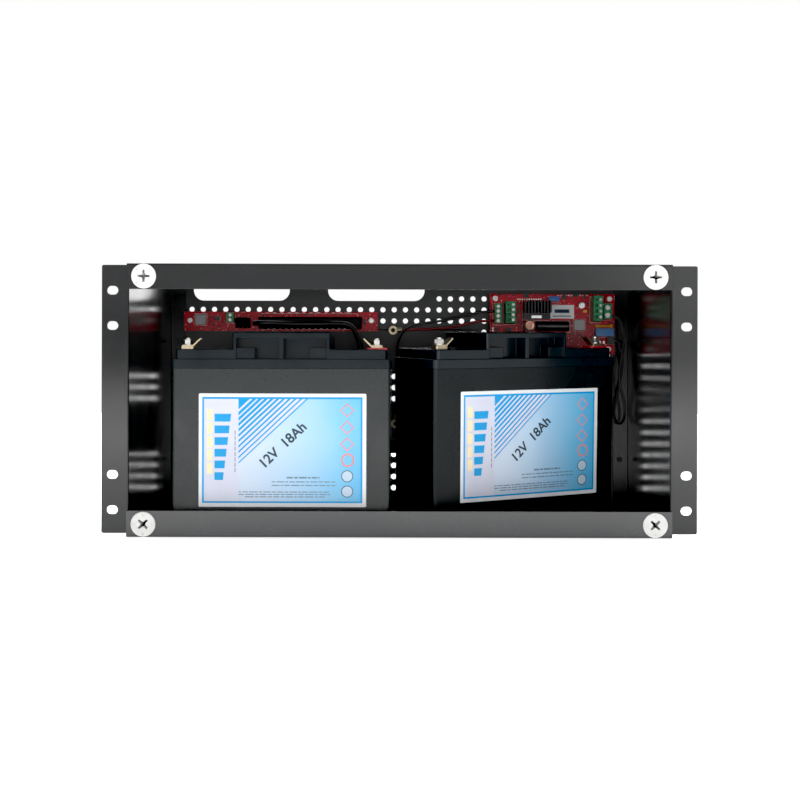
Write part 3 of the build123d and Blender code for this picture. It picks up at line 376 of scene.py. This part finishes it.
M["alu"] = metal("aluminium_can", (0.7, 0.7, 0.71), 0.28, (1, 1, 1), 0.1, 500)
M["copper"] = metal("enamelled_copper", (0.78, 0.38, 0.26), 0.35, (1, 1, 1), 0.3, 900)
M["blue_box"] = plastic("blue_box", (0.02, 0.17, 0.46), 0.3, 700, 0.06, 0.0003, coat=0.2)
M["orange"] = plastic("orange_part", (0.75, 0.33, 0.03), 0.3, 700, 0.06, 0.0003)
M["rubber"] = plastic("rubber_pad", (0.012, 0.012, 0.012), 0.7, 500, 0.3, 0.0005)
M["red_wire"] = plastic("red_pvc", (0.20, 0.008, 0.012), 0.38, 800, 0.1, 0.0, coat=0.1)
M["black_wire"] = plastic("black_pvc", (0.010, 0.010, 0.011), 0.34, 800, 0.1, 0.0, coat=0.15)

USE = {
    "paint_lit_floor": ["bottom_panel"],
    "paint": ["top_panel", "side_panel_left", "side_panel_right"],
    "paint_in": ["back_panel"],
    "paint_black": ["rear_cross_rail", "psu_cover", "chassis_rivets"],
    "zinc": ["cross_rail_screws", "psu_mount_screws", "psu_base", "board_screws", "terminal_screws",
             "input_plug_screws", "output_plug_screws"],
    "nylon": ["cover_snap_sockets"],
    "case": ["battery_left_container"],
    "case_painted_shade": ["battery_right_container"],
    "lid": ["battery_left_lid", "battery_right_lid"],
    "lead_metal": ["battery_left_plate_packs", "battery_right_plate_packs"],
    "terminal": ["battery_left_terminals", "battery_right_terminals", "board_standoffs", "ring_lugs"],
    "bolt": ["battery_left_bolts", "battery_right_bolts"],
    "red_ring": ["battery_left_positive_ring", "battery_right_positive_ring"],
    "film": ["battery_left_label", "battery_right_label"],
    "pcb": ["control_board", "ups_board"],
    "fr1": ["psu_circuit_board"],
    "chip": ["control_board_parts", "ups_board_parts", "psu_components", "psu_terminal_block", "side_connector"],
    "grey_can": ["control_board_chip", "ups_square_chip"],
    "green": ["control_board_terminal", "battery_terminal_block", "signal_terminal_block", "input_header", "output_header",
              "input_plug", "output_plug"],
    "anodised": ["ups_heatsink"],
    "black_sleeve": ["ups_power_module", "ups_inductor"],
    "alu": ["ups_capacitor"],
    "blue_box": ["ups_blue_relay"],
    "orange": ["ups_fuse"],
    "rubber": ["battery_rest_pad"],
}
for key, names in USE.items():
    for n in names:
        me = N[n].data
        me.materials.clear()
        me.materials.append(M[key])
        for poly in me.polygons:
            poly.material_index = 0


# ------------------------------------------------------------------ mesh helpers
class Place:
    """A local frame: u to the right, v up, w outwards, all in mm."""

    def __init__(self, origin, u, v):
        self.o = Vector(origin) * MM
        self.u = Vector(u).normalized()
        self.v = Vector(v).normalized()
        self.w = self.u.cross(self.v)

    def __call__(self, u, v, w=0.0):
        return self.o + (self.u * u + self.v * v + self.w * w) * MM


def new_piece(name, verts, faces, mat, body, smooth=False):
    me = bpy.data.meshes.new(name)
    me.from_pydata([tuple(v) for v in verts], [], faces)
    me.materials.append(mat)
    me.validate()
    bm = bmesh.new()
    bm.from_mesh(me)
    bmesh.ops.recalc_face_normals(bm, faces=bm.faces)
    bm.to_mesh(me)
    bm.free()
    if smooth:
        for p in me.polygons:
            p.use_smooth = True
    o = bpy.data.objects.new(name, me)
    scene.collection.objects.link(o)
    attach(o, body)
    return o


def prisms(name, place, polys, w0, w1, mat, body):
    """Closed thin prisms: every polygon is a list of (u, v) in mm."""
    verts, faces = [], []
    for poly in polys:
        n, b = len(poly), len(verts)
        verts += [place(u, v, w0) for u, v in poly] + [place(u, v, w1) for u, v in poly]
        faces.append(list(range(b + n - 1, b - 1, -1)))
        faces.append(list(range(b + n, b + 2 * n)))
        for i in range(n):
            j = (i + 1) % n
            faces.append([b + i, b + j, b + n + j, b + n + i])
    return new_piece(name, verts, faces, mat, body)


def rect(u0, v0, u1, v1):
    return [(u0, v0), (u1, v0), (u1, v1), (u0, v1)]


def ring_polys(cu, cv, r0, r1, n=28):
    out = []
    for i in range(n):
        a, b = 2 * math.pi * i / n, 2 * math.pi * (i + 1) / n
        out.append([(cu + r0 * math.cos(a), cv + r0 * math.sin(a)), (cu + r1 * math.cos(a), cv + r1 * math.sin(a)),
                    (cu + r1 * math.cos(b), cv + r1 * math.sin(b)), (cu + r0 * math.cos(b), cv + r0 * math.sin(b))])
    return out


def ring_piece(name, place, rings, w0, w1, mat, body):
    """Flat closed rings: (cu, cv, inner, outer, sides, start angle)."""
    verts, faces = [], []
    for cu, cv, r0, r1, n, a0 in rings:
        b = len(verts)
        for w in (w0, w1):
            for r in (r0, r1):
                for i in range(n):
                    a = a0 + 2 * math.pi * i / n
                    verts.append(place(cu + r * math.cos(a), cv + r * math.sin(a), w))
        li, lo, hi, ho = b, b + n, b + 2 * n, b + 3 * n
        for i in range(n):
            j = (i + 1) % n
            faces += [[li + i, li + j, lo + j, lo + i], [hi + i, ho + i, ho + j, hi + j],
                      [li + i, hi + i, hi + j, li + j], [lo + i, lo + j, ho + j, ho + i]]
    return new_piece(name, verts, faces, mat, body)


def disc(cu, cv, r, n=28):
    return [(cu + r * math.cos(2 * math.pi * i / n), cv + r * math.sin(2 * math.pi * i / n)) for i in range(n)]


# ------------------------------------------------------------------ printed labels of the batteries
def ink(name, col, rough=0.22):
    return plastic(name, col[:3], rough, 350, 0.03, 0.0, coat=0.04, vary=0.03, spec=0.2)


INK = {
    "blue": ink("ink_blue", srgb(10, 160, 225)),
    "navy": ink("ink_navy", srgb(30, 52, 78)),
    "text": ink("ink_text", srgb(52, 68, 80)),
    "grey": ink("ink_grey", srgb(110, 135, 160)),
    "cream": ink("ink_cream", srgb(250, 235, 190)),
    "red": ink("ink_red", srgb(240, 140, 130)),
    "pale": ink("ink_pale", srgb(200, 222, 240)),
    "lav": ink("ink_lavender", srgb(216, 220, 236)),
}


def gradient_ink(name):
    k = Mat(name)
    sep = k.t.nodes.new("ShaderNodeSeparateXYZ")
    k.link(k.tc.outputs["UV"], sep.inputs[0])
    ramp = k.t.nodes.new("ShaderNodeValToRGB")
    e = ramp.color_ramp.elements
    e[0].position, e[0].color = 0.0, srgb(214, 219, 235)
    e[1].position, e[1].color = 1.0, srgb(84, 186, 238)
    m1 = e.new(0.35); m1.color = srgb(196, 216, 238)
    m2 = e.new(0.68); m2.color = srgb(158, 206, 240)
    m3 = e.new(0.86); m3.color = srgb(118, 196, 238)
    n = k.noise(30, 3)
    add = k.t.nodes.new("ShaderNodeMath"); add.operation = "ADD"
    k.link(sep.outputs[0], add.inputs[0])
    k.link(k.remap(n.outputs[0], -0.02, 0.02), add.inputs[1])
    k.link(add.outputs[0], ramp.inputs[0])
    k.link(ramp.outputs[0], k.p.inputs["Base Color"])
    k.link(k.remap(n.outputs[0], 0.17, 0.24), k.p.inputs["Roughness"])
    k.set(Coat_Weight=0.3, Coat_Roughness=0.1)
    return k.done()


GRAD = gradient_ink("ink_gradient")


def battery_label(tag, place, body):
    pre = "battery_" + tag + "_print_"
    # frame line and gradient ground
    prisms(pre + "frame", place, [rect(2.8, 3.2, 4.3, 90.2), rect(133.0, 3.2, 134.4, 90.2),
                                  rect(4.3, 3.2, 133.0, 4.6), rect(4.3, 88.6, 133.0, 90.2)], 0.0, 0.02, INK["blue"], body)
    ground = prisms(pre + "ground", place, [rect(4.3, 4.6, 133.0, 88.6)], 0.0, 0.02, GRAD, body)
    uv = ground.data.uv_layers.new(name="UVMap")
    for li, loop in enumerate(ground.data.loops):
        co = ground.data.vertices[loop.vertex_index].co
        d = co - place.o
        uv.data[li].uv = ((d.dot(place.u) / MM - 4.3) / 128.7, (d.dot(place.v) / MM - 4.6) / 84.0)
    prisms(pre + "column", place, [rect(4.3, 4.6, 32.6, 88.6)], 0.02, 0.03, INK["lav"], body)
    # cream strip in five cells
    prisms(pre + "cream", place, [rect(6.9, 27.0 + 11 * i, 11.2, 36.2 + 11 * i) for i in range(5)], 0.03, 0.045,
           INK["cream"], body)
    # plain charge-level bars, growing upwards
    bars = []
    for i in range(6):
        v0 = 22.0 + 9.6 * i
        bars.append([(13.0, v0), (20.0 + i * 1.2, v0 + 0.0), (20.6 + i * 1.2, v0 + 6.4), (13.0, v0 + 6.4)])
    prisms(pre + "bars", place, bars, 0.03, 0.045, INK["blue"], body)
    prisms(pre + "line", place, [rect(29.5, 28.4 + i * 4.4, 30.2, 31.9 + i * 4.4) for i in range(8)], 0.03, 0.045,
           INK["grey"], body)
    # solid corner and diagonal stripes
    ou, ov, k = 32.6, 88.6, 0.935
    stripes = [[(ou, ov), (ou, ov - 9.2 * k), (ou + 9.2, ov)]]
    s = 11.4
    for i in range(10):
        w = 3.3 - 0.2 * i
        stripes.append([(ou + s, ov), (ou, ov - s * k), (ou, ov - (s + w) * k), (ou + s + w, ov)])
        s += 4.9
    prisms(pre + "stripes", place, stripes, 0.02, 0.035, INK["blue"], body)
    light = []
    s = 9.2
    for i in range(10):
        w0 = 3.3 - 0.2 * (i - 1) if i else 0
        s1 = 11.4 + 4.9 * i
        s0 = 9.2 if i == 0 else 11.4 + 4.9 * (i - 1) + w0
        light.append([(ou + s0, ov), (ou, ov - s0 * k), (ou, ov - s1 * k), (ou + s1, ov)])
    prisms(pre + "gaps", place, light, 0.02, 0.03, INK["lav"], body)
    # lines of small print as plain dashes
    dash = []
    rows = [(72.3, 99.3, 23.4, 1.3), (60.0, 112.4, 20.2, 0.8), (60.0, 112.4, 17.3, 0.8),
            (32.8, 107.0, 11.9, 0.75), (32.8, 108.0, 9.9, 0.75), (38.0, 103.6, 7.9, 0.75)]
    seq = [5.2, 3.1, 6.4, 2.2, 4.5, 7.3, 2.8, 5.9, 3.6]
    for r, (u0, u1, v, h) in enumerate(rows):
        u, i = u0, r
        while u < u1 - 1.0:
            L = min(seq[i % 9], u1 - u)
            dash.append(rect(u, v, u + L, v + h))
            u += L + 0.9
            i += 1
    prisms(pre + "dashes", place, dash, 0.02, 0.035, INK["grey"], body)
    # plain diamonds and circles, without signs in them
    ring_piece(pre + "diamonds", place, [(121.8, v, 4.7, 5.8, 4, 0.0) for v in (79.4, 65.4, 51.6)]
               + [(122.4, 38.5, 4.3, 5.5, 36, 0.0)], 0.02, 0.035, INK["red"], body)
    prisms(pre + "spots", place, [disc(122.0, 25.3, 4.3), disc(122.0, 12.8, 4.3)], 0.02, 0.03, INK["pale"], body)
    ring_piece(pre + "circles", place, [(122.0, v, 4.3, 4.9, 36, 0.0) for v in (25.3, 12.8)], 0.02, 0.035, INK["navy"], body)
    # rating
    cu = bpy.data.curves.new(pre + "rating", "FONT")
    cu.body = "12V  18Ah"
    cu.size = 11.4 * MM
    cu.offset = 0.30 * MM
    cu.extrude = 0.008 * MM
    cu.align_x, cu.align_y = "CENTER", "CENTER"
    tmp = bpy.data.objects.new("tmp", cu)
    scene.collection.objects.link(tmp)
    me = bpy.data.meshes.new_from_object(tmp.evaluated_get(bpy.context.evaluated_depsgraph_get()))
    bpy.data.objects.remove(tmp)
    a = math.radians(43.5)
    ca, sa = math.cos(a), math.sin(a)
    mat = Matrix(((place.u * ca + place.v * sa), (place.v * ca - place.u * sa), place.w)).transposed().to_4x4()
    mat.translation = place(69.0, 50.5, 0.032)
    me.transform(mat)
    me.name = pre + "rating"
    me.materials.clear()
    me.materials.append(INK["text"])
    o = bpy.data.objects.new(pre + "rating", me)
    scene.collection.objects.link(o)
    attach(o, body)


T, P = math.radians(26.0), math.radians(3.99)
RX = (math.cos(T), math.sin(T) * math.cos(P), math.sin(T) * math.sin(P))
RY = (-math.sin(T), math.cos(T) * math.cos(P), math.cos(T) * math.sin(P))
RZ = (0.0, -math.sin(P), math.cos(P))
left0, right0 = Vector((-187.95, -76.0, 1.5)), Vector((28.3, -70.0, 1.5))


def bat(o0, x, y, z, px, py, pz):
    return o0 + Vector(x) * px + Vector(y) * py + Vector(z) * pz


battery_label("left", Place(bat(left0, (1, 0, 0), (0, 1, 0), (0, 0, 1), 23.15, 0.3, 22.0), (1, 0, 0), (0, 0, 1)), "battery_left")
battery_label("right", Place(bat(right0, RX, RY, RZ, 25.3, 0.3, 23.4), RX, RZ), "battery_right")


# ------------------------------------------------------------------ board details
BOARD = Place((0, 76.9, 0), (1, 0, 0), (0, 0, 1))
M["silk"] = plastic("silk_white", (0.72, 0.70, 0.70), 0.5, 500, 0.05, 0.0, vary=0.05)
M["pad"] = metal("tinned_pad", (0.70, 0.68, 0.64), 0.3, bevel=0)
M["sticker"] = plastic("blank_sticker", (0.80, 0.80, 0.81), 0.4, 500, 0.05, 0.0, vary=0.03)


def frame_polys(u0, v0, u1, v1, t=0.22):
    return [rect(u0, v0, u1, v0 + t), rect(u0, v1 - t, u1, v1), rect(u0, v0 + t, u0 + t, v1 - t), rect(u1 - t, v0 + t, u1, v1 - t)]


silk = []
for box in ((88.8, 183.2, 98.0, 204.2), (98.9, 183.6, 109.9, 205.2), (116.8, 188.0, 144.0, 206.4), (165.6, 177.6, 177.2, 189.2),
            (181.2, 185.6, 192.0, 210.8), (192.6, 188.0, 201.8, 204.2), (184.8, 171.6, 203.6, 180.4), (126.8, 176.4, 162.6, 187.6),
            (141.2, 205.2, 152.4, 210.8), (116.8, 176.2, 129.0, 188.6)):
    silk += frame_polys(*box)
for i in range(9):
    silk.append(rect(150.0 + 3.4 * i, 211.4, 152.2 + 3.4 * i, 212.1))
for box in ((-195.6, 182.2, -184.0, 193.6), (-165.6, 184.2, -156.6, 194.8), (-176.9, 186.6, -171.4, 191.2), (-132.0, 178.4, -40.0, 193.8)):
    silk += frame_polys(*box)
for i in range(12):
    silk.append(rect(-128.0 + 7.0 * i, 194.2, -125.0 + 7.0 * i, 194.8))
prisms("board_silkscreen", BOARD, silk, 0.0, 0.03, M["silk"], "chassis")
pads = []
for i in range(11):
    pads.append(rect(112.0 + 2.2 * i, 207.4, 113.1 + 2.2 * i, 208.6))
for i in range(8):
    pads.append(rect(88.2, 163.0 + 2.4 * i, 89.6, 164.2 + 2.4 * i))
for i in range(14):
    pads.append(rect(-126.0 + 5.6 * i, 179.2, -124.8 + 5.6 * i, 180.3))
for u in (91.0, 96.0, 101.0, 186.0, 190.0, 194.0):
    pads.append(rect(u, 166.0, u + 1.8, 168.2))
prisms("board_pads", BOARD, pads, 0.0, 0.04, M["pad"], "chassis")
prisms("ups_board_sticker", BOARD, [rect(143.6, 189.5, 166.3, 202.6)], 0.0, 0.12, M["sticker"], "chassis")
prisms("ups_board_sticker_lines", BOARD, [rect(147.6, 195.0, 161.8, 198.4), rect(146.0, 191.6, 163.4, 192.4)], 0.12, 0.14,
       INK["navy"], "chassis")
# copper winding seen in the inductor's mouth
ring_piece("inductor_winding", Place((122.9, 66.9, 182.4), (1, 0, 0), (0, 0, 1)),
           [(0, 0, 2.05 + 0.42 * i, 2.05 + 0.36 + 0.42 * i, 32, 0.0) for i in range(5)], 1.98, 2.35, M["copper"], "chassis")
prisms("inductor_core", Place((122.9, 66.9, 182.4), (1, 0, 0), (0, 0, 1)), [disc(0, 0, 1.95, 32)], 0.02, 1.9,
       plastic("pink_core", (0.75, 0.45, 0.42), 0.4), "chassis")
# bare bar along the heatsink's middle
prisms("heatsink_bar", Place((130.4, 61.9, 0), (1, 0, 0), (0, 0, 1)), [rect(-5.2, 189.6, 4.4, 192.2)], -10.8, -9.0, M["alu"],
       "chassis")

# black pin strip along the control board, in two lengths either side of the cable's exit
def comb(u0, u1, v0, v1, pitch=5.6, c=0.8, tooth=0.9):
    pts = [(u0 + c, v1), (u0, v1 - c), (u0, v0 + c), (u0 + c, v0)]
    u = u0 + pitch * 0.5
    while u + 2.0 < u1 - c:
        pts += [(u, v0), (u + 0.3, v0 + tooth), (u + 1.7, v0 + tooth), (u + 2.0, v0)]
        u += pitch
    return pts + [(u1 - c, v0), (u1, v0 + c), (u1, v1 - c), (u1 - c, v1)]


M["strip"] = plastic("strip_black", (0.006, 0.006, 0.0065), 0.40, 1100, 0.12, 0.0006, vary=0.05, spec=0.05)
M["strip_face"] = plastic("strip_face", (0.006, 0.006, 0.0065), 0.34, 1100, 0.10, 0.0006, vary=0.05, spec=0.1)
prisms("control_board_strip", BOARD, [comb(-134.4, -36.2, 178.8, 190.2)], 0.0, 5.2, M["strip"], "chassis")
prisms("control_board_strip_ridge", BOARD, [comb(-133.2, -37.4, 181.2, 188.6, 9.0)], 5.2, 6.4, M["strip_face"], "chassis")
prisms("control_board_strip_short", BOARD, [comb(-156.6, -142.6, 179.4, 189.6, 4.2)], 0.0, 3.4, M["strip"], "chassis")
# small tantalum part beside the sticker
M["yellow"] = plastic("tantalum_yellow", (0.72, 0.48, 0.05), 0.35, 700, 0.06, 0.0002)
prisms("ups_board_tantalum", BOARD, [[(175.2, 195.4), (178.2, 195.4), (178.5, 195.8), (178.5, 197.4), (178.2, 197.8), (175.2, 197.8),
                                      (174.9, 197.4), (174.9, 195.8)]], 0.0, 1.5, M["yellow"], "chassis")
# the trimmer among the small parts is blue
M["trimmer"] = plastic("trimmer_blue", (0.02, 0.13, 0.42), 0.32, 700, 0.06, 0.0002)
me = N["ups_board_parts"].data
me.materials.append(M["trimmer"])
for poly in me.polygons:
    c = N["ups_board_parts"].matrix_world @ poly.center
    if 0.1415 < c.x < 0.1521 and 0.2052 < c.z < 0.2108:
        poly.material_index = 1


# ------------------------------------------------------------------ leads
def lead(name, node, route, dia, mat):
    cu = bpy.data.curves.new(name, "CURVE")
    cu.dimensions = "3D"
    cu.bevel_depth = dia / 2 * MM
    cu.bevel_resolution = 5
    cu.resolution_u = 8
    cu.use_fill_caps = True
    sp = cu.splines.new("NURBS")
    sp.points.add(len(route) - 1)
    for p, q in zip(sp.points, route):
        p.co = (q[0] * MM, q[1] * MM, q[2] * MM, 1)
    sp.order_u = 3
    sp.use_endpoint_u = True
    cu.materials.append(mat)
    o = bpy.data.objects.new(name, cu)
    scene.collection.objects.link(o)
    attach(o, "chassis")
    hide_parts(node)
    return o


RED_ROUTE = [(90.1, 74.0, 186.9), (79.5, 73.2, 187.1), (68.5, 72.3, 185.4), (57.0, 71.9, 182.2), (45.0, 72.2, 180.1),
             (33.0, 72.8, 179.2), (20.5, 73.1, 178.9), (10.0, 72.7, 178.6), (2.0, 71.9, 178.2)]
BLACK_ROUTE = [(90.1, 74.0, 196.1), (79.5, 72.0, 195.9), (68.5, 69.8, 193.3), (55.5, 68.2, 189.5), (41.0, 67.8, 186.7),
               (26.0, 68.4, 184.8), (12.0, 68.0, 182.6), (2.0, 64.4, 175.8), (-2.6, 59.4, 163.0), (-2.2, 55.0, 147.0),
               (-3.6, 49.6, 130.0), (-2.8, 44.6, 113.0), (-3.4, 42.6, 98.0)]
LOOP_ROUTE = [(201.0, 73.9, 192.5), (207.0, 72.6, 191.0), (211.4, 71.0, 184.0), (213.4, 70.2, 172.0), (211.0, 70.6, 156.0),
              (208.0, 71.0, 139.0), (209.6, 71.2, 123.0), (213.6, 71.4, 109.0), (214.6, 73.0, 97.5), (212.4, 76.4, 90.0),
              (208.6, 81.0, 89.4), (206.0, 84.2, 95.5), (206.2, 85.0, 106.0), (209.6, 84.6, 121.0), (213.0, 83.6, 136.0),
              (213.2, 80.4, 149.0), (212.2, 76.6, 159.6), (209.8, 73.9, 168.6), (203.8, 73.9, 168.6)]
LINK_ROUTE = [(-138.4, 76.9, 184.4), (-138.4, 70.4, 184.4), (-131.0, 66.6, 184.2), (-118.0, 65.8, 183.6), (-98.0, 66.0, 183.0),
              (-76.0, 65.6, 183.1), (-58.0, 65.8, 183.7), (-47.0, 65.2, 182.6), (-40.6, 63.4, 175.0), (-36.6, 60.4, 160.0),
              (-33.0, 55.6, 141.0), (-29.0, 49.0, 122.0), (-25.0, 43.4, 106.0), (-22.8, 40.4, 94.6), (-22.0, 43.6, 85.5),
              (-22.0, 51.5, 85.5)]
lead("battery_lead_red_wire", "battery_lead_red", RED_ROUTE, 2.6, M["red_wire"])
lead("battery_lead_black_wire", "battery_lead_black", BLACK_ROUTE, 2.4, M["black_wire"])
lead("signal_loop_wire", "signal_loop_cable", LOOP_ROUTE, 2.6, M["black_wire"])
lead("board_link_wire", "board_link_cable", LINK_ROUTE, 5.0, M["black_wire"])

# ------------------------------------------------------------------ floor
me = bpy.data.meshes.new("floor")
me.from_pydata([(-6, -6, -0.0002), (6, -6, -0.0002), (6, 8, -0.0002), (-6, 8, -0.0002)], [], [(0, 1, 2, 3)])
k = Mat("pale_floor")
n = k.noise(3, 3)
k.link(k.mix(k.remap(n.outputs[0], 0, 1), (0.88, 0.88, 0.88), (0.92, 0.92, 0.92)), k.p.inputs["Base Color"])
k.set(Roughness=0.6)
k.p.inputs["Emission Color"].default_value = (1, 1, 1, 1)
k.p.inputs["Emission Strength"].default_value = 0.72
me.materials.append(k.done())
floor = bpy.data.objects.new("floor", me)
scene.collection.objects.link(floor)
